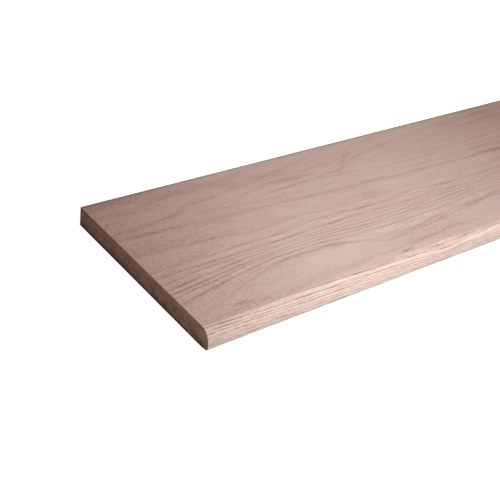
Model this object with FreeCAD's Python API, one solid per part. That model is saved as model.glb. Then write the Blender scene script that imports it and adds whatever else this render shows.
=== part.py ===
import FreeCAD, Part
import math
import os
from FreeCAD import Vector

# A hardwood stair tread: one straight length of planed board with a rounded nose.
# The frame stands at the middle of the underside: +X runs along the length, +Y from
# the nose towards the back edge, and +Z up to the walked face. All sizes are in mm.

# The board, over all
tread_length = 1219.2      # 48 in, a length that tread stock is sold in
tread_depth = 292.1        # 11 1/2 in, nose included
tread_thickness = 27.0     # 1 1/16 in

# The nose, along the front edge
nose_radius = 19.05        # 3/4 in, the large round at the walked side
nose_step = 1.25           # how far that round's crown is set above the walked face, which
                           # leaves the faint line where the round breaks from the face
under_radius = 4.8         # 3/16 in, the small round below the nose

# Arrises eased by sanding
back_ease = 0.9            # along both edges of the back
end_ease = 0.7             # around both cut ends


def arc_about(centre, radius, start, middle, end):
    """The arc about a centre in the board's section, its three angles in degrees from +Y."""
    def point(angle):
        turn = math.radians(angle)
        return Vector(0.0, centre[0] + radius * math.cos(turn), centre[1] + radius * math.sin(turn))
    return Part.Arc(point(start), point(middle), point(end)).toShape()


def board_section():
    """The closed outline of the board across its length, in the plane X = 0."""
    front = -tread_depth / 2.0
    back = tread_depth / 2.0
    # The large round stands on the front plane. Its crown lies nose_step over the walked
    # face, so it meets that face before it turns level. The small round limits it below.
    large = min(nose_radius, tread_thickness + nose_step - under_radius)
    large_centre = (front + large, tread_thickness + nose_step - large)
    break_angle = math.degrees(math.asin((large - nose_step) / large))
    under_centre = (front + under_radius, under_radius)
    top_centre = (back - back_ease, tread_thickness - back_ease)
    bottom_centre = (back - back_ease, back_ease)

    nose_round = arc_about(large_centre, large, 180.0, 180.0 - break_angle / 2.0, 180.0 - break_angle)
    top_back = arc_about(top_centre, back_ease, 90.0, 45.0, 0.0)
    bottom_back = arc_about(bottom_centre, back_ease, 0.0, -45.0, -90.0)
    under_round = arc_about(under_centre, under_radius, 270.0, 225.0, 180.0)

    # Flat stretches join the four arcs, in order round the section from the nose.
    arcs = [nose_round, top_back, bottom_back, under_round]
    edges = []
    for index, arc in enumerate(arcs):
        following = arcs[(index + 1) % len(arcs)]
        edges.append(arc)
        here = arc.valueAt(arc.LastParameter)
        there = following.valueAt(following.FirstParameter)
        if here.distanceToPoint(there) > 1e-6:
            edges.append(Part.makeLine(here, there))
    return Part.Face(Part.Wire(edges))


def make_tread():
    """The board: its section drawn out along the length, with eased cut ends."""
    section = board_section()
    section.translate(Vector(-tread_length / 2.0, 0.0, 0.0))
    board = section.extrude(Vector(tread_length, 0.0, 0.0))
    return board.makeFillet(end_ease, end_edges(board))


def end_edges(board):
    """The edges that lie wholly in the plane of either cut end."""
    found = []
    for edge in board.Edges:
        box = edge.BoundBox
        if box.XLength < 1e-6 and abs(abs(box.XMin) - tread_length / 2.0) < 1e-6:
            found.append(edge)
    return found


def report(name, shape):
    """Print what a finished piece measures, as a check on the sizes above."""
    box = shape.optimalBoundingBox(True, False)
    print("%s: %d solid, valid %s, %.2f x %.2f x %.2f mm, from z %.3f, %.1f cm3" % (
        name, len(shape.Solids), shape.isValid(), box.XLength, box.YLength, box.ZLength,
        box.ZMin, shape.Volume / 1000.0))


os.makedirs("parts", exist_ok=True)
tread = make_tread()
tread.exportStep(os.path.join("parts", "tread.step"))
report("tread", tread)
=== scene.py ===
import math
import bpy
from mathutils import Matrix, Vector


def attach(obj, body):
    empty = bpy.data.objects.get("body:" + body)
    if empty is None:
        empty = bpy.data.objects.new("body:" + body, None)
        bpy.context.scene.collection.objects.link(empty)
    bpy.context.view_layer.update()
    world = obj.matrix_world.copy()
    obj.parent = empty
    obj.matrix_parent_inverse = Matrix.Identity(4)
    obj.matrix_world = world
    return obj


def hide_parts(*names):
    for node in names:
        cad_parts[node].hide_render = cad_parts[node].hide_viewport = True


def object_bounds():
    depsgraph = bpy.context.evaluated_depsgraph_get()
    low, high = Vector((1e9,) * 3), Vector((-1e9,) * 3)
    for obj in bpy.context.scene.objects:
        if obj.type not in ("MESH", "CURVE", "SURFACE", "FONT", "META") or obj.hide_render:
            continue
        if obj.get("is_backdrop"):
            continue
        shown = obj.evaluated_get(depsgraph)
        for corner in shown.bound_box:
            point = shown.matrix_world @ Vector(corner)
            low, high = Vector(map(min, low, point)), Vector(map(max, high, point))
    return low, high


# A solid red oak stair tread, unfinished, lying on a white floor. Blender works in metres.
# Places on the board are given in mm: along from its left end, and back from its nose.

mm = 0.001
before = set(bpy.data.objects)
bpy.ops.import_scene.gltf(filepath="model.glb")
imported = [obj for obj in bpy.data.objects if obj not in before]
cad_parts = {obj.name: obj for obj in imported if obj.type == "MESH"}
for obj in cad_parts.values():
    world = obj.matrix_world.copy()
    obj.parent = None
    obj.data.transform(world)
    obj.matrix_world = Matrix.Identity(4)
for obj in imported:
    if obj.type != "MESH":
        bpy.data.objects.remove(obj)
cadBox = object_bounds()


def hexColor(code):
    channels = [int(code[i:i + 2], 16) / 255 for i in (1, 3, 5)]
    linear = [c / 12.92 if c <= 0.04045 else ((c + 0.055) / 1.055) ** 2.4 for c in channels]
    return (*linear, 1.0)


def layCurve(node, points):
    # runs a Float Curve smoothly through points whose two numbers both go from 0 to 1
    curve = node.mapping.curves[0]
    while len(curve.points) < len(points):
        curve.points.new(0.5, 0.5)
    for point, place in zip(curve.points, points):
        point.location = place
        point.handle_type = "AUTO_CLAMPED"
    node.mapping.extend = "HORIZONTAL"
    node.mapping.update()


def nodesOf(tree):
    # Gives the function that adds a node to this tree. "Math.ADD" is a Math node that adds. The
    # inputs come in their order, or in a dictionary by name or number. A node stands for its first
    # output, and a list is linked item by item.
    def add(kind, *inputs, **settings):
        kind, _, operation = kind.partition(".")
        node = tree.nodes.new(kind if "Node" in kind else "ShaderNode" + kind)
        if operation:
            node.operation = operation
        for name, value in settings.items():
            setattr(node, name, value)
        named = inputs[0] if inputs and isinstance(inputs[0], dict) else dict(enumerate(inputs))
        for socket, value in named.items():
            for item in value if isinstance(value, list) else [value]:
                if isinstance(item, bpy.types.Node):
                    item = item.outputs[0]
                if isinstance(item, bpy.types.NodeSocket):
                    tree.links.new(item, node.inputs[socket])
                else:
                    node.inputs[socket].default_value = item
        return node
    return add


# The board

board = {
    "length": 1219.2 * mm,
    "depth": 292.1 * mm,
    "thickness": 27.0 * mm,
    "noseRadius": 19.05 * mm,
    "noseStep": 1.25 * mm,      # the round's crown stands this far over the walked face
    "underRadius": 4.8 * mm,
    "backEase": 0.9 * mm,
    "endEase": 0.7 * mm,
    "roundSteps": 16,           # facets in the large round, half as many in a small one
    "flatSteps": 44,            # points across the walked face and the underside
    "backSteps": 8,             # up the back
    "noseSteps": 5,             # up the flat of the nose
    "lengthSteps": 150,
}
quarter = math.pi / 2


def treadSection(add, given, small):
    # Four rounds joined by flats. It lies flat: its X is the board's Y, and its Y is the height.
    def roundAt(radius, x, y, start, sweep, steps):
        arc = add("GeometryNodeCurveArc", {
            "Resolution": add("Math.ADD", steps, 1.0), "Radius": radius,
            "Start Angle": start, "Sweep Angle": sweep})
        return add("GeometryNodeTransform", {"Geometry": arc, "Translation": add("CombineXYZ", x, y)})

    def flat(fromX, fromY, toX, toY, steps):
        # its points crowd towards both ends, so that it shades flat right up to the rounds
        first = add("CombineXYZ", fromX, fromY)
        last = add("CombineXYZ", toX, toY)
        line = add("GeometryNodeCurvePrimitiveLine", {"Start": first, "End": last})
        cut = add("GeometryNodeResampleCurve", {"Curve": line, "Count": steps})
        share = add("GeometryNodeSplineParameter").outputs["Factor"]
        turned = add("Math.COSINE", add("Math.MULTIPLY", share, math.pi))
        eased = add("Math.MULTIPLY_ADD", turned, -0.5, 0.5)
        spot = add("Mix", {0: eased, 4: first, 5: last}, data_type="VECTOR").outputs[1]
        return add("GeometryNodeSetPosition", {"Geometry": cut, "Position": spot})

    top = given["thickness"]
    back = add("Math.MULTIPLY", given["depth"], 0.5)
    front = add("Math.MULTIPLY", back, -1.0)
    reach = add("Math.SUBTRACT", given["noseRadius"], given["noseStep"])
    breakAngle = add("Math.ARCSINE", add("Math.DIVIDE", reach, given["noseRadius"]))
    noseX = add("Math.ADD", front, given["noseRadius"])
    noseY = add("Math.SUBTRACT", top, reach)
    crest = add("Math.MULTIPLY", add("Math.COSINE", breakAngle), given["noseRadius"])
    noseEnd = add("Math.SUBTRACT", noseX, crest)
    underX = add("Math.ADD", front, given["underRadius"])
    backX = add("Math.SUBTRACT", back, given["backEase"])
    backTop = add("Math.SUBTRACT", top, given["backEase"])
    parts = [
        roundAt(given["noseRadius"], noseX, noseY, add("Math.SUBTRACT", math.pi, breakAngle),
                breakAngle, given["roundSteps"]),
        flat(noseEnd, top, backX, top, given["flatSteps"]),
        roundAt(given["backEase"], backX, backTop, 0.0, quarter, small),
        flat(back, given["backEase"], back, backTop, given["backSteps"]),
        roundAt(given["backEase"], backX, given["backEase"], -quarter, quarter, small),
        flat(backX, 0.0, underX, 0.0, given["flatSteps"]),
        roundAt(given["underRadius"], underX, given["underRadius"], math.pi, quarter, small),
        flat(front, given["underRadius"], front, noseY, given["noseSteps"]),
    ]
    strips = add("GeometryNodeCurveToMesh", {"Curve": add("GeometryNodeJoinGeometry", parts)})
    ring = add("GeometryNodeMergeByDistance", {"Geometry": strips, "Distance": 0.01 * mm})
    section = add("GeometryNodeReverseCurve", {"Curve": add("GeometryNodeMeshToCurve", ring)})
    tangent = add("GeometryNodeInputTangent")
    outward = add("VectorMath.CROSS_PRODUCT", tangent, (0.0, 0.0, 1.0))
    around = add("GeometryNodeSplineParameter").outputs["Factor"]
    for label, kind, value in (("outward", "FLOAT_VECTOR", outward), ("around", "FLOAT", around)):
        section = add("GeometryNodeStoreNamedAttribute", {
            "Geometry": section, "Name": label, "Value": value}, data_type=kind)
    return section


def treadRail(add, given, small):
    # The places of the section along X: one small round at each end, and even steps between them.
    ease = given["endEase"]
    half = add("Math.MULTIPLY", given["length"], 0.5)
    straight = add("Math.SUBTRACT", given["length"], add("Math.MULTIPLY", ease, 2.0))
    index = add("GeometryNodeInputIndex")
    rings = add("Math.ADD", given["lengthSteps"], add("Math.MULTIPLY", small, 2.0))
    left = add("Math.SUBTRACT", rings, index)
    early = add("Math.MINIMUM", add("Math.DIVIDE", index, small), 1.0)
    late = add("Math.MINIMUM", add("Math.DIVIDE", left, small), 1.0)
    even = add("MapRange", index, small, add("Math.SUBTRACT", rings, small), 0.0, straight)
    rise = add("Math.SUBTRACT", 1.0, add("Math.COSINE", add("Math.MULTIPLY", early, quarter)))
    fall = add("Math.COSINE", add("Math.MULTIPLY", late, quarter))
    eases = add("Math.MULTIPLY", ease, add("Math.ADD", rise, fall))
    alongX = add("Math.SUBTRACT", add("Math.ADD", eases, even), half)
    line = add("GeometryNodeCurvePrimitiveLine", {"End": (1.0, 0.0, 0.0)})
    rail = add("GeometryNodeResampleCurve", {"Curve": line, "Count": add("Math.ADD", rings, 1.0)})
    return add("GeometryNodeSetPosition", {"Geometry": rail, "Position": add("CombineXYZ", alongX)})


def easeEnds(add, given, solid):
    # Draws both ends in by a quarter circle, against the section's own outward direction.
    ease = given["endEase"]
    half = add("Math.MULTIPLY", given["length"], 0.5)
    spot = add("SeparateXYZ", add("GeometryNodeInputPosition"))
    inside = add("Math.SUBTRACT", half, add("Math.ABSOLUTE", spot.outputs["X"]))
    depth = add("Math.MAXIMUM", add("Math.SUBTRACT", 1.0, add("Math.DIVIDE", inside, ease)), 0.0)
    under = add("Math.SUBTRACT", 1.0, add("Math.POWER", depth, 2.0))
    chord = add("Math.SQRT", add("Math.MAXIMUM", under, 0.0))
    drawIn = add("Math.MULTIPLY", add("Math.SUBTRACT", chord, 1.0), ease)
    stored = add("GeometryNodeInputNamedAttribute", {"Name": "outward"}, data_type="FLOAT_VECTOR")
    lean = add("SeparateXYZ", stored).outputs
    shift = add("CombineXYZ", 0.0, add("Math.MULTIPLY", lean["X"], drawIn),
                add("Math.MULTIPLY", lean["Y"], drawIn))
    return add("GeometryNodeSetPosition", {"Geometry": solid, "Offset": shift})


def treadTree():
    # The section is drawn out along the length, and the ends are eased.
    tree = bpy.data.node_groups.new("Tread from its section", "GeometryNodeTree")
    add = nodesOf(tree)
    face = tree.interface
    face.new_socket("Geometry", in_out="INPUT", socket_type="NodeSocketGeometry")
    for label in board:
        kind = "NodeSocketInt" if label.endswith("Steps") else "NodeSocketFloat"
        face.new_socket(label, in_out="INPUT", socket_type=kind)
    face.new_socket("wood", in_out="INPUT", socket_type="NodeSocketMaterial")
    face.new_socket("Geometry", in_out="OUTPUT", socket_type="NodeSocketGeometry")
    given = add("NodeGroupInput").outputs
    small = add("Math.DIVIDE", given["roundSteps"], 2.0)
    swept = add("GeometryNodeCurveToMesh", {
        "Curve": treadRail(add, given, small), "Profile Curve": treadSection(add, given, small),
        "Fill Caps": True})
    solid = add("GeometryNodeTransform", {"Geometry": swept, "Rotation": (math.pi, 0.0, 0.0)})
    whole = add("GeometryNodeRealizeInstances", easeEnds(add, given, solid))
    add("NodeGroupOutput", add("GeometryNodeSetMaterial", {
        "Geometry": whole, "Material": given["wood"]}))
    return tree


def treadBoard(wood):
    base = bpy.data.objects.new("treadRule", bpy.data.meshes.new("treadRule"))
    bpy.context.scene.collection.objects.link(base)
    rule = base.modifiers.new("section", "NODES")
    rule.node_group = treadTree()
    values = {**board, "wood": wood}
    for item in rule.node_group.interface.items_tree:
        if item.in_out == "INPUT" and item.name in values:
            rule[item.identifier] = values[item.name]
    graph = bpy.context.evaluated_depsgraph_get()
    mesh = bpy.data.meshes.new_from_object(base.evaluated_get(graph))
    bpy.data.objects.remove(base)
    return mesh


# The map for baking has one strip for the four long sides, and the two ends in a row above it. Each
# is given by its left and lower side, its width and its height, as shares of the map.
bakingMap = {
    "cut": 0.24,                # the share of the way round where the strip is cut open, under the board
    "strip": (0.01, 0.01, 0.98, 0.90),
    "leftEnd": (0.01, 0.935, 0.48, 0.05),
    "rightEnd": (0.51, 0.935, 0.48, 0.05),
}


def mapForBaking(mesh):
    around = [item.value for item in mesh.attributes["around"].data]
    sheet = mesh.uv_layers.new(name="OFBake")
    for polygon in mesh.polygons:
        shares = [(around[v] - bakingMap["cut"]) % 1.0 for v in polygon.vertices]
        if max(shares) - min(shares) > 0.5:
            shares = [share + (1.0 if share < 0.5 else 0.0) for share in shares]
        onEnd = abs(polygon.normal.x) > 0.9
        place = "strip"
        if onEnd:
            place = "leftEnd" if polygon.normal.x < 0 else "rightEnd"
        left, low, wide, high = bakingMap[place]
        for corner, vertex, share in zip(polygon.loop_indices, polygon.vertices, shares):
            x, y, z = mesh.vertices[vertex].co
            if onEnd:
                across, over = y / board["depth"] + 0.5, z / board["thickness"]
            else:
                across, over = x / board["length"] + 0.5, share
            sheet.data[corner].uv = (left + across * wide, low + over * high)


# The wood

# The grain as it shows on the walked face, from the nose back. Each line has the number of its
# ring, half its width in mm, its way along the board (mm from the left end, then mm back from the
# nose) and how dark it is along that way. Lines before the nose, under 0, come out on its round,
# where the rings go down. Rings are spread evenly between two lines.
grainLines = [
    (-11, 1.5, [(0, -32), (1219, -34)], [(0, 0.5)]),
    (-6, 1.2, [(0, -1), (48, -2.6), (108, -5.5), (208, -7.5), (308, -11), (390, -14.5), (500, -8.5),
               (700, -12), (900, -7), (1219, -11)],
     [(0, 1.6), (25, 1.1), (60, 1.6), (90, 0.8), (150, 1.0), (205, 0.7), (280, 0.3), (340, 0.6),
      (400, 0.4)]),
    (-5, 1.2, [(0, 4), (28, 3), (68, 0.5), (108, -1.7), (188, -3), (248, -5), (308, -7), (348, -9.5),
               (390, -12), (448, -8), (488, -5), (600, -8), (900, -2), (1219, -7)],
     [(0, 1.0), (30, 1.9), (70, 1.2), (150, 1.1), (175, 0.4), (210, 1.1), (280, 0.3), (330, 0.8),
      (420, 0.5)]),
    (-4, 1.2, [(0, 10), (28, 8.4), (68, 5.5), (108, 3.4), (168, 2.6), (208, 0.5), (268, -0.9),
               (328, -3.4), (368, -7.5), (392, -9.5), (430, -7.5), (470, -5.5), (490, -3), (700, -2),
               (900, 3), (1219, -2)],
     [(0, 1.7), (30, 1.5), (90, 1.3), (130, 1.6), (190, 1.7), (220, 0.8), (270, 1.3), (310, 1.3),
      (340, 0.6), (430, 0.5), (490, 0.9)]),
    (-3, 1.2, [(0, 16.5), (60, 15.5), (110, 13.5), (168, 11.6), (208, 10), (248, 8), (308, 6.4),
               (348, 3.8), (368, 1.3), (388, -2), (408, -2.1), (428, -0.8), (468, 3), (488, 5.5),
               (560, 8), (700, 5), (900, 9), (1219, 4)],
     [(110, 0), (168, 0.9), (188, 1.4), (270, 1.2), (310, 0.8), (328, 1.9), (368, 0.8), (408, 1.4),
      (470, 1.0)]),
    (-2, 6.0, [(0, 17), (70, 19), (130, 17), (190, 19), (250, 23), (280, 27), (310, 25), (370, 28),
               (400, 28.5), (430, 33), (460, 27.5), (540, 29), (700, 22), (900, 26), (1219, 20)],
     [(0, 0.3), (100, 0.4), (130, 0.25), (250, 0.4), (310, 0.45), (340, 0.8), (370, 0.75), (430, 0.6),
      (500, 0.5)]),
    (-1, 6.0, [(0, 24), (30, 34), (70, 49), (100, 57), (130, 66), (160, 71), (190, 75), (220, 74.5),
               (250, 72.5), (280, 63), (340, 47), (370, 49), (430, 53), (490, 59), (580, 66), (700, 62),
               (850, 50), (1000, 55), (1219, 48)],
     [(20, 0), (70, 0.25), (100, 0.45), (150, 0.6), (190, 0.75), (220, 0.65), (280, 0.5), (310, 0.3),
      (340, 0.6), (500, 0.5)]),
    (0, 2.2, [(0, 57.5), (40, 66), (70, 71), (100, 75), (130, 81), (160, 84), (220, 83.5), (280, 79),
              (370, 75), (490, 77), (580, 82), (700, 80), (850, 70), (1000, 73), (1219, 66)],
     [(0, 0.7), (40, 1.0), (100, 1.0), (150, 0.6), (190, 1.1), (250, 0.8), (290, 0.6), (370, 0.9),
      (460, 0.9), (500, 0.5)]),
    (1, 2.2, [(0, 70), (40, 76), (100, 83.5), (130, 88), (190, 90), (250, 89), (280, 86), (340, 84),
              (490, 85), (540, 88), (700, 85), (850, 77), (1000, 80), (1219, 74)],
     [(0, 0.6), (40, 0.9), (130, 0.6), (190, 0.3), (280, 0.8), (340, 0.6), (400, 0.4)]),
    (2, 2.2, [(0, 78), (40, 82), (70, 85), (100, 89), (130, 92), (160, 93.5), (220, 96), (280, 93),
              (340, 89), (460, 91), (540, 94), (700, 92), (850, 86), (1000, 88), (1219, 82)],
     [(0, 1.4), (40, 1.2), (100, 1.1), (140, 0.7), (190, 0.4), (250, 0.6), (310, 0.9), (350, 0.5),
      (430, 0.8), (500, 0.5)]),
    (3, 2.0, [(0, 86), (40, 90), (130, 99), (190, 102), (250, 100), (340, 96), (460, 98), (490, 102),
              (620, 99), (850, 93), (1219, 89)],
     [(0, 0.5), (130, 0.4), (250, 0.3), (340, 0.3), (620, 0.6), (700, 0.4)]),
    (4, 2.0, [(0, 98), (40, 102), (70, 105), (160, 106), (300, 105), (430, 103), (700, 103), (1219, 95)],
     [(0, 0.6), (70, 0.7), (110, 0.25)]),
    (5, 2.2, [(0, 110), (40, 113), (70, 112), (220, 112.5), (310, 114), (430, 108), (560, 107),
              (700, 109), (850, 104), (1219, 101)],
     [(0, 0.6), (60, 0.7), (100, 0.9), (200, 1.0), (225, 0.3), (255, 0.3), (285, 0.9), (320, 0.5),
      (340, 0.2), (700, 0.3)]),
    (6, 3.4, [(0, 125), (190, 125), (250, 130), (310, 130), (340, 126), (400, 125), (430, 130),
              (462, 130), (490, 123), (620, 121), (760, 123), (900, 118), (1219, 116)],
     [(0, 0.7), (45, 0.6), (70, 0.2), (160, 0.5), (220, 0.2), (280, 0.5), (370, 0.8), (400, 0.4),
      (440, 0.6), (620, 0.7), (700, 0.4)]),
    (7, 5.2, [(0, 163), (40, 162), (70, 157), (130, 153), (162, 145.5), (190, 144), (250, 148.5),
              (310, 142), (430, 140), (600, 137), (760, 139), (900, 134), (1219, 136)],
     [(0, 0.4), (70, 0.5), (100, 0.75), (130, 0.6), (170, 0.35), (250, 0.3), (310, 0.3), (350, 0),
      (600, 0.1), (700, 0.3)]),
    (8, 5.8, [(0, 204), (18, 200.5), (70, 198), (130, 193.5), (190, 189), (250, 185), (310, 181),
              (340, 178), (400, 176.5), (430, 175), (460, 171), (540, 168), (620, 165), (760, 162),
              (900, 158), (1219, 166)],
     [(0, 0.8), (70, 1.0), (95, 0.5), (120, 0.25), (260, 0.35), (310, 0.9), (340, 0.6), (460, 0.7),
      (490, 0.9), (560, 0.5), (640, 1.0), (720, 1.1), (850, 1.0)]),
    ("middle", 2.0, [(0, 209), (140, 211), (250, 213.5), (328, 215), (389, 216.5), (430, 218), (596, 222),
                     (760, 226), (1219, 222)], [(0, 0)]),
    (8, 7.5, [(0, 215), (40, 216), (70, 218), (100, 223), (118, 231), (130, 236), (160, 237), (190, 241),
              (250, 250), (330, 264), (430, 288), (520, 304), (700, 312), (1219, 300)],
     [(0, 0.35), (70, 0.4), (115, 0.55), (150, 0.4), (175, 0.2), (210, 0.05), (600, 0.05), (700, 0.25)]),
    (5.5, 3.0, [(0, 318), (1219, 332)], [(0, 0.3)]),
]

# Streaks of their own, which have no ring: half the width, the way and how dark, as above.
streaks = [
    (1.2, [(335, 13), (368, 9.6), (388, 6.4), (428, 7.6), (448, 10.9), (460, 12.5)],
     [(335, 0), (388, 1.0), (408, 0.7), (428, 1.5), (460, 0)]),
    (5.5, [(35, 36), (68, 28), (95, 26)], [(35, 0), (68, 1.5), (95, 0)]),
    (4.0, [(0, -16), (100, -16)],
     [(0, 0.3), (7, 0.7), (20, 0.2), (30, 0), (50, 0), (60, 1.1), (70, 0), (80, 0.6), (90, 0)]),
    (3.0, [(318, 18), (346, 18.5)], [(318, 0), (327, 2.0), (338, 1.8), (346, 0)]),
    (3.5, [(300, 57), (340, 54), (400, 57), (430, 61), (540, 68), (580, 73), (700, 78)],
     [(300, 0), (400, 0.5), (540, 0.6), (700, 0)]),
    (2.5, [(30, 134), (70, 139), (125, 139)], [(30, 0), (70, 0.5), (100, 0.7), (125, 0)]),
    (2.0, [(325, 122), (352, 122)], [(325, 0), (340, 0.7), (352, 0)]),
    (1.8, [(247, 214.5), (310, 217), (370, 220), (400, 225), (412, 232), (430, 241)],
     [(247, 0), (253, 1.1), (375, 1.3), (400, 0.7), (430, 0)]),
    (4.5, [(395, 232), (420, 245), (435, 255), (500, 258)], [(395, 0), (432, 0.8), (460, 0.4), (500, 0)]),
    (4.5, [(240, 231), (310, 229), (362, 231)], [(240, 0), (280, 0.5), (320, 0.8), (362, 0)]),
    (2.0, [(120, 203), (160, 204), (190, 209), (250, 206.5), (280, 205)],
     [(120, 0), (140, 0.4), (190, 0.4), (280, 0)]),
    (2.0, [(415, 211), (490, 211), (540, 209), (660, 206), (800, 207)],
     [(415, 0), (430, 0.4), (460, 0.2), (490, 0.6), (580, 0.8), (640, 0.4), (800, 0)]),
    (2.0, [(420, 201), (460, 199), (620, 198), (700, 195), (730, 195)],
     [(420, 0), (520, 0.3), (580, 0.9), (610, 0.3), (640, 0), (690, 0.4), (730, 0)]),
    (2.6, [(420, 186), (540, 183), (620, 184), (660, 182), (800, 183)],
     [(420, 0), (460, 0.4), (490, 0.2), (540, 0.5), (580, 0.3), (660, 1.1), (700, 0.6), (800, 0)]),
    (5.0, [(690, 250), (740, 252), (775, 258)], [(690, 0), (735, 0.7), (775, 0)]),
    (4.0, [(0, 258), (70, 251), (130, 258)], [(0, 0.25), (100, 0.2), (130, 0)]),
    (1.8, [(295, 191), (340, 193), (420, 192)], [(295, 0), (310, 0.3), (420, 0)]),
    # A painted highlight: this pale streak runs along the nose's break towards the left end.
    (1.8, [(0, 12.6), (28, 11.5), (68, 9.6), (108, 7.5)], [(0, -0.9), (80, -0.9), (108, 0)]),
    (2.0, [(0, -5.7), (130, -6.2)], [(0, -0.6), (80, -0.6), (130, 0)]),
]

# Broad soft stretches of darker wood, or of paler wood where the last number is under 0,
# written as the streaks are. Two of them are painted shade, where the light falls off at the back.
softStretches = [
    (11, [(0, 1), (200, 1), (400, 0)],
     [(0, -0.27), (80, -0.19), (130, -0.05), (380, -0.08), (440, -0.36), (1219, -0.24)]),
    (17, [(0, -17), (130, -20)], [(0, -0.15), (80, -0.12), (130, 0)]),
    (13, [(420, -20), (1219, -22)], [(420, 0), (470, -0.09), (1219, -0.09)]),
    (40, [(0, 35), (140, 35)], [(0, -0.07), (100, -0.05), (140, 0)]),
    (30, [(470, 30), (1219, 30)], [(470, 0), (520, -0.07), (1219, -0.07)]),
    (36, [(230, 38), (450, 38)], [(220, 0), (280, 0.08), (330, 0.15), (400, 0.11), (470, 0.04),
          (490, 0)]),
    (60, [(0, 115), (220, 125)], [(0, -0.06), (170, -0.06), (230, 0)]),
    # Painted shade: the back grows darker towards the left end, where the light falls off.
    (45, [(0, 288), (130, 280), (330, 250)], [(0, 0.21), (60, 0.20), (160, 0.10), (300, 0.08), (360, 0)]),
    (110, [(380, 190), (700, 180)], [(380, 0), (470, -0.11), (620, -0.11), (690, 0)]),
    (50, [(500, 270), (680, 270)], [(500, 0), (540, -0.07), (620, -0.07), (680, 0)]),
    # Painted shade: the back grows darker towards the right, where the light falls off.
    (80, [(690, 265), (1219, 265)], [(690, 0), (770, 0.15), (900, 0.13), (1219, 0.05)]),
    (9, [(560, 173), (668, 168), (760, 165), (1219, 170)],
     [(560, 0), (620, 0.05), (668, 0.13), (760, 0.11), (1219, 0.06)]),
    (8, [(600, 185), (760, 184)], [(600, 0), (660, 0.10), (720, 0.04), (790, 0)]),
    (10, [(240, 235), (340, 230)], [(230, 0), (280, 0.06), (340, 0.08), (385, 0)]),
    (8, [(390, 236), (440, 250)], [(390, 0), (425, 0.08), (450, 0)]),
    (5, [(318, 18), (346, 18.5)], [(318, 0), (328, 0.10), (338, 0.04), (348, 0)]),
]

# Rings in the middle of the V that opens to the right: one more shows from each of its tips on.
middleRings = [(0, 8.2), (129, 9.0), (250, 10.0), (328, 10.15), (389, 10.35), (430, 10.9), (470, 11.3),
               (596, 12.0), (700, 12.3), (900, 12.7), (1219, 12.2)]

# How far back the rings lean for each mm down, from the nose back.
ringLean = [(0, 1.0), (18, 1.0), (50, 1.4), (85, 0.5), (112, 0.3), (160, 1.0), (190, 1.2), (209, 0),
            (230, -1.2), (292, -0.9)]

# How much the rings show, from the nose back: they stand closest on the round nose and in the band
# behind the oval.
ringsClose = [(0, 1), (10, 1), (16, 0.1), (50, 0.15), (66, 0.74), (118, 0.74), (138, 0.2), (292, 0.1)]

# How dark one ring is, from its porous spring wood at 0 to that of the next ring at 1.
oneRing = [(0, 0.9), (0.12, 0.6), (0.35, 0.1), (0.65, -0.3), (0.88, 0.1), (1, 0.9)]

# How much speckle there is, from the left end on.
speckleAlong = [(0, 1.5), (60, 1.5), (190, 0.45), (330, 0.5), (600, 0.9)]

# A pale, greyer oval of sapwood near the nose, as a broad streak.
paleOval = (24, [(60, 34), (130, 44), (200, 50), (300, 44), (350, 38), (390, 36), (440, 40), (600, 42)],
            [(80, 0), (135, 0.7), (200, 1.0), (310, 0.9), (345, 0.6), (390, 0), (440, 0.1), (480, 0.5),
             (560, 0.45), (700, 0.2)])

# Noises: the size of one blotch in mm along, back and up, the levels of finer detail in it, and how
# strong these are.
noises = {
    "pores": ((12.0, 0.9, 0.9), 1.0, 0.5),      # a vessel is 0.3 wide, drawn coarser so that it shows
    "fibres": ((70, 1.5, 1.5), 3.0, 0.6),
    "speckle": ((5.5, 3.0, 3.0), 2.0, 0.6),
    "cloud": ((240, 36, 60), 3.0, 0.5),
    "dashes": ((15, 1.1, 1.1), 2.0, 0.6),       # which break up the lines
    "rays": ((20, 7, 7), 1.0, 0.5),
    "stain": ((20, 16, 7), 2.0, 0.5),
    "patches": ((15, 18, 11), 2.0, 0.5),
}
strandNoise = ((45, 0.22, 1), 3.0, 0.6)         # its width is a share of a ring

# How the lines wander: the size of one wave in mm along, back and up, and how far it goes.
wanders = [((170, 45, 45), 2.4), ((34, 5, 5), 1.5), ((9, 0.9, 0.9), 1.6)]

# The colours laid over the wood: how each is mixed in, and the factors of its share. A factor is
# what is read at a point, by its name, or a number, or a ramp of what is read: from where to where,
# and what it gives at the one and at the other.
coats = [
    ("sapwood", "MIX", ["inOval", 0.3]),
    ("pore", "MIX", [("opened", 0.15, 0.27, 0, 0.5)]),
    ("rayFleck", "MIX", [("fromNose", 4, 7, 1, 0), ("along", 180, 300, 1, 0.2),
                         ("rays", 0.14, 0.19, 0, 0.75)]),
    ("redHeart", "MULTIPLY", [("along", 0, 200, 1, 0), ("fromNose", 40, 110, 0.3, 1)]),
    ("endTint", "MULTIPLY", ["cutAcross"]),
    # Painted shade on the ends: they grow darker towards the foot, mottled in patches.
    ("endFootShade", "MULTIPLY", ["cutAcross", ("up", 24, 4, 0, 1), ("patches", -0.12, 0.12, 0.3, 1)]),
    # A painted shadow line along the very foot of the ends, where the board meets the floor.
    ("footShadowLine", "MULTIPLY", ["cutAcross", ("up", 4.2, 2.2, 0, 1), ("fromNose", 50, 240, 0.7, 1)]),
    # Painted shade along the back arris, near its top.
    ("backArrisShade", "MULTIPLY", [("fromNose", 286, 290, 0, 1), ("up", 20, 25, 0, 1)]),
    # Painted shade at the foot of the nose, where it comes close to the floor.
    ("noseFootShade", "MULTIPLY", [("fromNose", 3, 1, 0, 1), ("up", 9, 4, 0, 1)]),
]

# Where the wood's own colours lie between the palest tone and the darkest.
toneStops = [(0.0, "paleWood"), (0.38, "heartwood"), (0.75, "earlyWood"), (1.0, "darkest")]

lineReach = (-40, 340)          # mm from the nose: some lines run out over the board's edges
darkReach = (-2, 2)             # the least and the most that a line can be dark

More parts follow.
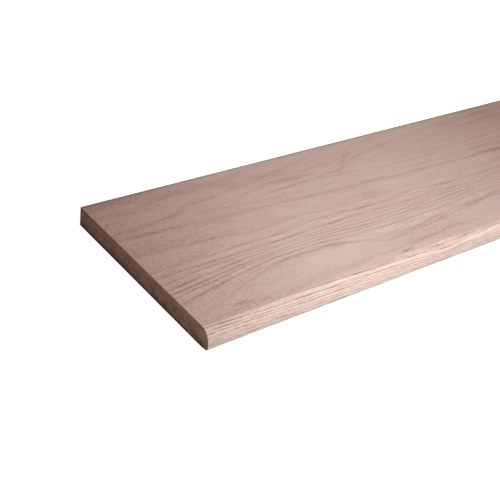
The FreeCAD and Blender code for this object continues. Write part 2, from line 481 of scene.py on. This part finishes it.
redOak = {
    "paleWood": "#d9c2b3",
    "heartwood": "#c8ab9f",     # late wood of planed red oak, a pale pinkish tan
    "earlyWood": "#a38676",     # the porous spring wood that draws the figure
    "darkest": "#7e6053",
    "sapwood": "#cbbeb2",
    "pore": "#75594f",
    "rayFleck": "#c49e8a",
    "redHeart": "#efe6e4",      # the heartwood towards the left end is multiplied by it
    "endTint": "#bfb0a6",       # end grain soaks up light: the face's colour is multiplied by it
    "endFootShade": "#a49d90",       # painted shade: the end is multiplied by this once more towards its foot, in patches
    "footShadowLine": "#4d413b",        # a painted shadow line along the very foot of the ends
    "backArrisShade": "#d2dfe5",        # painted shade along the back arris, greyish
    "noseFootShade": "#effdff",      # painted shade at the foot of the nose by the floor, a little darker and greyer
    "plainTone": (0.335, -0.06),        # the tone, and what is added where the rings stand close
    "lineContrast": (0.13, 0.16),       # how far a mark moves the tone, and what is added there
    "ringContrast": (0.10, 0.20),
    "strandContrast": (0.3, 1.1),
    "fibreContrast": (0.30, -0.14),     # and what is added in the pale oval
    "speckleContrast": 0.55,
    "cloudContrast": 0.22,
    "stainContrast": 0.9,       # on the cut ends
    "endContrast": 0.3,         # the share of the lines and rings that still shows there
    "roughness": (0.60, 0.74),  # of the palest and the darkest wood
    "specular": 0.1,            # no finish
    "relief": 0.08 * mm,
    "reliefStrength": 0.35,
    "poreDepth": 0.5,           # as a share of the relief
    "fibreHeight": -0.08,
}


def follow(add, value, points, span, low, high):
    # a smooth value from low to high that follows points over 0 to span, level before and after
    runOut = span / 120     # the curve is read in 256 steps, so that its ends must lie level
    (first, start), (last, end) = points[0], points[-1]
    if first > runOut:
        points = [(first - runOut, start)] + points
    if last < span - runOut:
        points = points + [(last + runOut, end)]
    curve = add("FloatCurve", {"Value": add("Math.DIVIDE", value, span)})
    layCurve(curve, [(place / span, (level - low) / (high - low)) for place, level in points])
    return add("Math.MULTIPLY_ADD", curve, high - low, low)


def blotches(add, place, size, detail=2.0, rough=0.5):
    # from about -0.5 to 0.5
    scaled = add("VectorMath.MULTIPLY", place, tuple(1.0 / side for side in size))
    cloud = add("TexNoise", {"Vector": scaled, "Scale": 1.0, "Detail": detail, "Roughness": rough})
    return add("Math.SUBTRACT", cloud, 0.5)


def product(add, at, factors):
    # the factors are written as those of the coats are
    result = None
    for factor in factors:
        if isinstance(factor, str):
            factor = at[factor]
        elif isinstance(factor, tuple):
            name, *ends = factor
            factor = add("MapRange", at[name], *ends)
        result = factor if result is None else add("Math.MULTIPLY", result, factor)
    return result


def readPoint(add):
    # What is read at a point: its place in mm from the board's left end, nose and underside, how much
    # it is on a cut end, how far back its ring comes out on the walked face, and the noises.
    length, depth, thickness = (board[side] / mm for side in ("length", "depth", "thickness"))
    here = add("TexCoord").outputs
    spot = add("VectorMath.MULTIPLY_ADD", here["Object"], (1 / mm,) * 3, (length / 2, depth / 2, 0.0))
    at = dict(zip(("along", "fromNose", "up"), add("SeparateXYZ", spot).outputs))
    at["spot"] = spot
    at["down"] = add("Math.SUBTRACT", thickness, at["up"])
    turned = add("SeparateXYZ", here["Normal"]).outputs
    at["cutAcross"] = add("MapRange", add("Math.ABSOLUTE", turned["X"]), 0.5, 0.9, 0.0, 1.0)

    # The rings lean as they go down, and no line is quite smooth.
    slide = add("Math.MULTIPLY", follow(add, at["fromNose"], ringLean, depth, -2, 2), at["down"])
    wander = 0.0
    for size, reach in wanders:
        wander = add("Math.MULTIPLY_ADD", blotches(add, spot, size), reach, wander)
    at["back"] = add("Math.ADD", add("Math.SUBTRACT", at["fromNose"], slide), wander)
    for name, noise in noises.items():
        at[name] = blotches(add, spot, *noise)
    return at


def lineAt(add, at, way):
    # how far back a line lies at a point's place along the board
    return follow(add, at["along"], way, board["length"] / mm, *lineReach)


def beside(add, at, line, width, darkness, core=0.0):
    # darkness on the line, fading to nothing at width mm from it
    off = add("Math.ABSOLUTE", add("Math.SUBTRACT", at["back"], line))
    power = follow(add, at["along"], darkness, board["length"] / mm, *darkReach)
    return add("MapRange", off, core, width, power, 0.0, interpolation_type="SMOOTHSTEP")


def addStreaks(add, at, tone, drawn):
    # the tone with all the drawn streaks on it
    for width, way, darkness in drawn:
        tone = add("Math.ADD", tone, beside(add, at, lineAt(add, at, way), width, darkness))
    return tone


def linesAndRings(add, at):
    # how dark the drawn lines are, and the number of the ring
    print("  grain from", len(grainLines), "lines and", len(streaks), "streaks")
    lineTone = 0.0
    passed = None
    for number, width, way, darkness in grainLines:
        line = lineAt(add, at, way)
        if number == "middle":
            number = follow(add, at["along"], middleRings, board["length"] / mm, 0, 20)
        if passed is None:
            rings = number
        else:
            step = add("Math.SUBTRACT", number, passed[0])
            rings = add("Math.ADD", rings, add("MapRange", at["back"], passed[1], line, 0.0, step))
        passed = (number, line)
        lineTone = add("Math.ADD", lineTone, beside(add, at, line, width, darkness))
    lineTone = addStreaks(add, at, lineTone, streaks)
    return add("Math.MULTIPLY", lineTone, product(add, at, [("dashes", -0.16, 0.2, 0.3, 1.7)])), rings


def ringFigure(add, at, rings):
    # Rings that no line draws, faint on the face and arcs on the end grain, and their strands. About
    # the heart of the V, the ring's number falls as the point goes down.
    heart = 212.0               # mm from the nose
    fromHeart = add("Math.ABSOLUTE", add("Math.SUBTRACT", at["back"], heart))
    sink = add("MapRange", fromHeart, 0.0, 55.0, 0.16, 0.0, interpolation_type="SMOOTHSTEP")
    rings = add("Math.SUBTRACT", rings, add("Math.MULTIPLY", at["down"], sink))
    lifted = add("Math.ADD", rings, 40.0)       # no number under 0
    which = add("TexWhiteNoise", {"W": add("Math.ROUND", lifted)}, noise_dimensions="1D")
    early = follow(add, add("Math.FRACT", lifted), oneRing, 1, -1, 1)
    ringTone = add("Math.MULTIPLY", early, add("Math.MULTIPLY_ADD", which, 0.8, 0.3))   # each its own
    return ringTone, blotches(add, add("CombineXYZ", at["along"], rings), *strandNoise)


def woodTone(add, at, lineTone, rings):
    # from 0, the palest wood, to 1, the darkest
    def contrast(name, where):
        plain, more = redOak[name]
        return add("Math.MULTIPLY_ADD", where, more, plain)

    # The close rings show more towards the left end, and most on the round of the nose.
    ringTone, strands = ringFigure(add, at, rings)
    close = follow(add, at["back"], ringsClose, board["depth"] / mm, 0, 1)
    close = add("Math.MULTIPLY", close, product(add, at, [("along", 60, 480, 1, 0.65)]))
    closest = add("Math.ADD", close, product(add, at, [("back", -1, -9, 0, 1.2)]))
    rough = follow(add, at["along"], speckleAlong, board["length"] / mm, 0, 2)
    rough = add("Math.MULTIPLY", rough, product(add, at, [("fromNose", 225, 270, 1, 0.6)]))
    rough = add("Math.ADD", add("Math.MULTIPLY_ADD", at["inOval"], -0.4, rough), at["cutAcross"])
    faded = product(add, at, [("cutAcross", 0, 1, 1, redOak["endContrast"])])
    tone = contrast("plainTone", close)
    for mark, strength in (
            (lineTone, add("Math.MULTIPLY", contrast("lineContrast", close), faded)),
            (ringTone, add("Math.MULTIPLY", contrast("ringContrast", closest), faded)),
            (strands, contrast("strandContrast", closest)),
            (at["fibres"], contrast("fibreContrast", at["inOval"])),
            (add("Math.MULTIPLY", at["speckle"], rough), redOak["speckleContrast"]),
            (at["cloud"], redOak["cloudContrast"])):
        tone = add("Math.MULTIPLY_ADD", mark, strength, tone)
    tone = addStreaks(add, at, tone, softStretches)
    stained = product(add, at, ["stain", "cutAcross"])
    return add("Math.MULTIPLY_ADD", stained, redOak["stainContrast"], tone)


def woodColor(add, at, tone):
    # the tone's own colour with the coats over it
    shade = add("ValToRGB", tone)
    stops = shade.color_ramp.elements
    while len(stops) < len(toneStops):
        stops.new(0.5)
    for stop, (place, name) in zip(stops, toneStops):
        stop.position = place
        stop.color = hexColor(redOak[name])
    color = shade.outputs[0]
    for name, kind, where in coats:
        color = add("Mix", {0: product(add, at, where), 6: color, 7: hexColor(redOak[name])},
                    data_type="RGBA", blend_type=kind).outputs[2]
    return color


def sandedRedOak():
    # Red oak, planed and sanded, with no finish on it: a dry, dull surface with open pores.
    wood = bpy.data.materials.new("sandedRedOak")
    wood.use_nodes = True
    wood.node_tree.nodes.clear()
    add = nodesOf(wood.node_tree)
    at = readPoint(add)
    width, way, paleness = paleOval
    at["inOval"] = beside(add, at, lineAt(add, at, way), width, paleness, width * 0.45)
    lineTone, rings = linesAndRings(add, at)
    at["opened"] = add("Math.MULTIPLY_ADD", lineTone, 0.06, at["pores"])    # the lines have more
    tone = woodTone(add, at, lineTone, rings)

    # The relief reads only the pores and fibres: a bump works out all that it reads three times over,
    # and with the lines in it the shader grows too big for Cycles.
    sunk = product(add, at, [("pores", 0.15, 0.27, 0, -redOak["poreDepth"])])
    height = add("Math.MULTIPLY_ADD", at["fibres"], redOak["fibreHeight"], sunk)
    bump = add("Bump", {"Height": height, "Strength": redOak["reliefStrength"],
                        "Distance": redOak["relief"]})
    skin = add("BsdfPrincipled", {
        "Base Color": woodColor(add, at, tone), "Normal": bump,
        "Roughness": add("MapRange", tone, 0.0, 1.0, *redOak["roughness"]),
        "IOR": 1.5, "Specular IOR Level": redOak["specular"]})
    add("OutputMaterial", skin)
    return wood


sharpFrom = math.radians(15)        # an edge that turns more than this shades as a sharp one

print("red oak")
oak = sandedRedOak()
print("tread")
treadMesh = treadBoard(oak)
mapForBaking(treadMesh)
treadMesh.polygons.foreach_set("use_smooth", [True] * len(treadMesh.polygons))
treadMesh.set_sharp_from_angle(angle=sharpFrom)
tread = bpy.data.objects.new("oakTread", treadMesh)
bpy.context.scene.collection.objects.link(tread)
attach(tread, "root")
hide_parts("tread")


# The floor, the lamps and the camera

studio = {
    "floorSize": 12.0,
    "floorWhite": "#e6e6e6",
    "floorShade": "#6e6663",    # painted contact shadow, where the board touches it
    "floorGlow": 0.85,          # only the camera sees it, and it lifts the paper to white
    "contact": 1.6 * mm,        # but not so close to the board, where its shadow is darkest
    "openAir": (0.5, 0.95),     # how open the paper is where that shadow is full, and where it ends
    "noseClear": 0.85,          # how much of that shadow is missing before the nose
    "noseReach": (6 * mm, 12 * mm),     # and where it comes back, from the nose on
    "sky": 0.37,
    "skyColor": "#ffe0d8",      # a warm room
    "lampColor": "#eafaff",     # and slightly cool lamps
}

# Square soft boxes with grids, which keep their light on the board: place, aim, size, width of the
# beam in degrees, and power.
softBoxes = {
    "key": ((-0.52, -0.59, 0.70), (-0.19, -0.06, 0.0), 0.30, 83, 1.89),
    "fill": ((0.62, -0.70, 0.90), (0.62, 0.0, 0.0), 0.40, 44, 0.56),
    "front": ((-0.43, -1.10, 0.26), (-0.39, -0.15, 0.0), 0.30, 86, 0.59),
}


def seenByCamera(add):
    path = add("LightPath").outputs
    mirrored = add("Math.MAXIMUM", path["Is Glossy Ray"], path["Is Transmission Ray"])
    return add("Math.MAXIMUM", path["Is Camera Ray"], mirrored)


def whitePaper():
    # matt white paper, which keeps the board's shadow and has a painted contact shadow where the board
    # touches it
    paper = bpy.data.materials.new("mattPaper")
    paper.use_nodes = True
    paper.node_tree.nodes.clear()
    add = nodesOf(paper.node_tree)
    # The painted contact shadow: where the board shuts the paper in, it turns floorShade and its glow
    # goes out, though mostly not before the nose.
    near = add("AmbientOcclusion", {"Distance": studio["contact"]}).outputs["AO"]
    clear = add("MapRange", near, *studio["openAir"], 0.0, 1.0)
    spot = add("SeparateXYZ", add("TexCoord").outputs["Object"]).outputs
    fadeFrom, fadeTo = (reach - board["depth"] / 2 for reach in studio["noseReach"])
    before = add("MapRange", spot["Y"], fadeFrom, fadeTo, studio["noseClear"], 0.0)
    clear = add("Math.MAXIMUM", clear, before)
    shades = {0: clear, 6: hexColor(studio["floorShade"]), 7: hexColor(studio["floorWhite"])}
    matt = add("BsdfDiffuse", add("Mix", shades, data_type="RGBA").outputs[2])
    glow = add("Emission", {"Strength": add("Math.MULTIPLY", clear, studio["floorGlow"])})
    shown = add("MixShader", seenByCamera(add), add("Emission", {"Strength": 0.0}), glow)
    add("OutputMaterial", add("AddShader", matt, shown))
    return paper


def flatFloor(paper):
    half = studio["floorSize"] / 2
    corners = [(-half, -half, 0), (half, -half, 0), (half, half, 0), (-half, half, 0)]
    mesh = bpy.data.meshes.new("floor")
    mesh.from_pydata(corners, [], [(0, 1, 2, 3)])
    mesh.materials.append(paper)
    floor = bpy.data.objects.new("floor", mesh)
    bpy.context.scene.collection.objects.link(floor)
    floor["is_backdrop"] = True


def softLights():
    for name, (place, aim, size, beam, power) in softBoxes.items():
        box = bpy.data.lights.new(name, "AREA")
        box.size = size
        box.spread = math.radians(beam)
        box.energy = power
        box.color = hexColor(studio["lampColor"])[:3]
        lamp = bpy.data.objects.new(name, box)
        lamp.location = place
        lamp.rotation_euler = (Vector(aim) - Vector(place)).to_track_quat("-Z", "Y").to_euler()
        bpy.context.scene.collection.objects.link(lamp)


def paleRoom():
    # a dim warm sky on the board, and white where the camera looks past it
    world = bpy.data.worlds.new("studio")
    bpy.context.scene.world = world
    world.use_nodes = True
    world.node_tree.nodes.clear()
    add = nodesOf(world.node_tree)
    sky = add("Background", hexColor(studio["skyColor"]), studio["sky"])
    white = add("Background", (1.0, 1.0, 1.0, 1.0), 1.0)
    add("OutputWorld", add("MixShader", seenByCamera(add), sky, white))


view = {
    "place": (-1.1365, -0.7753, 0.6864),
    "heading": 42.03,           # degrees to the right of a look straight at the nose
    "down": 33.465,
    "tilt": 8.768,              # the picture is turned this far about its middle
    "lens": 68.39,
    "sensor": 36.0,
}


def photoCamera():
    lens = bpy.data.cameras.new("camera")
    lens.sensor_width = view["sensor"]
    lens.lens = view["lens"]
    camera = bpy.data.objects.new("camera", lens)
    turn = (Matrix.Rotation(math.radians(-view["heading"]), 4, "Z")
            @ Matrix.Rotation(math.radians(90 - view["down"]), 4, "X")
            @ Matrix.Rotation(math.radians(view["tilt"]), 4, "Z"))
    camera.matrix_world = Matrix.Translation(Vector(view["place"])) @ turn
    bpy.context.scene.collection.objects.link(camera)
    bpy.context.scene.camera = camera


print("studio")
flatFloor(whitePaper())
softLights()
paleRoom()
photoCamera()
bpy.context.scene.view_settings.view_transform = "Standard"
bpy.context.view_layer.update()

boxes = {"cad": cadBox, "visual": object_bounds()}
{name: [list(corner) for corner in box] for name, box in boxes.items()}
